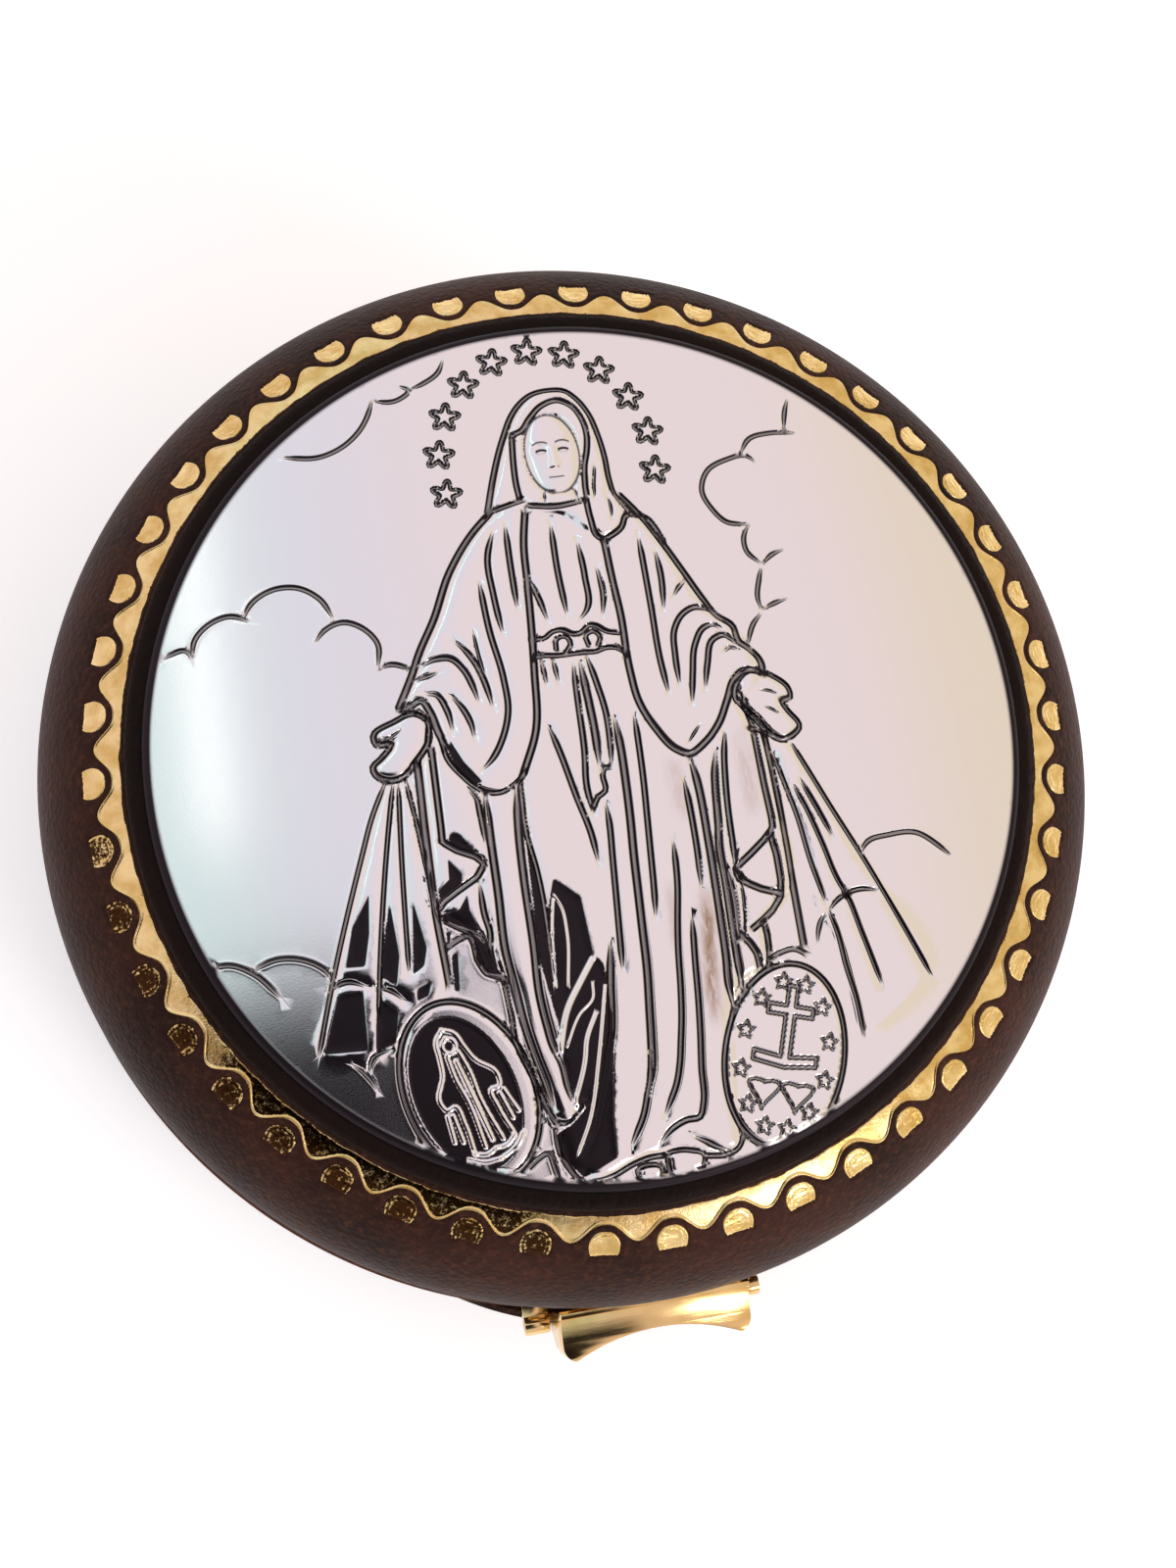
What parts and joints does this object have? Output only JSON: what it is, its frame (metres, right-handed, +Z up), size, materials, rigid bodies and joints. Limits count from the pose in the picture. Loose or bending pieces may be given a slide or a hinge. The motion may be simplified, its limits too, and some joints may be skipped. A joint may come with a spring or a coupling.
{
  "type": "rosary box",
  "caption": "Round leather-covered box with hinged lid, domed silver relief plaque, gold-stamped border, velvet lining and lever clasp.",
  "frame": {"origin": "centre of the underside, on the surface that the box stands on", "axes": "+Z up, -Y towards the clasp at the front, +Y towards the hinge, +X to the right seen from the front"},
  "size_m": [0.0664, 0.0714, 0.0318],
  "materials": {
    "leather": "fine-grained red-brown leather, lightly polished",
    "silver": "polished silver sheet, chased, lines oxidised dark",
    "gold_foil": "hot-stamped gold foil on leather",
    "gilt_brass": "polished gilt brass",
    "pin_steel": "drawn steel wire, gilt",
    "beech": "turned beech, unfinished",
    "board": "pressed bookbinder's board",
    "filler": "cast filler behind the silver sheet",
    "velvet": "short-pile velvet",
    "felt": "dense brown felt"
  },
  "bodies": {
    "base": {"base_core": "beech", "base_leather": "leather", "base_board": "board", "foot_pad": "felt", "neck_ring": "board", "base_lining": "velvet", "base_cushion": "velvet", "hinge_base_leaf": "gilt_brass", "hinge_pin": "pin_steel", "hinge_base_tacks": "gilt_brass", "clasp_bracket": "gilt_brass", "clasp_pin": "pin_steel", "clasp_bracket_tacks": "gilt_brass"},
    "lid": {"lid_core": "beech", "lid_leather": "leather", "lid_lining": "velvet", "lid_cushion": "velvet", "plaque_backing": "filler", "silver_plaque": "silver", "gold_border": "gold_foil", "hinge_lid_leaf": "gilt_brass", "hinge_lid_tacks": "gilt_brass", "catch_plate": "gilt_brass", "catch_tacks": "gilt_brass"},
    "lever": {"clasp_lever": "gilt_brass"}
  },
  "joints": [
    {"name": "lid_hinge", "type": "hinge", "parent": "base", "child": "lid", "pos_m": [0, 0.03435, 0.01515], "axis": [-1, 0, 0], "range_deg": [0, 100]},
    {"name": "clasp_pivot", "type": "hinge", "parent": "base", "child": "lever", "pos_m": [0, -0.0336, 0.011], "axis": [1, 0, 0], "range_deg": [0, 45]}
  ]
}
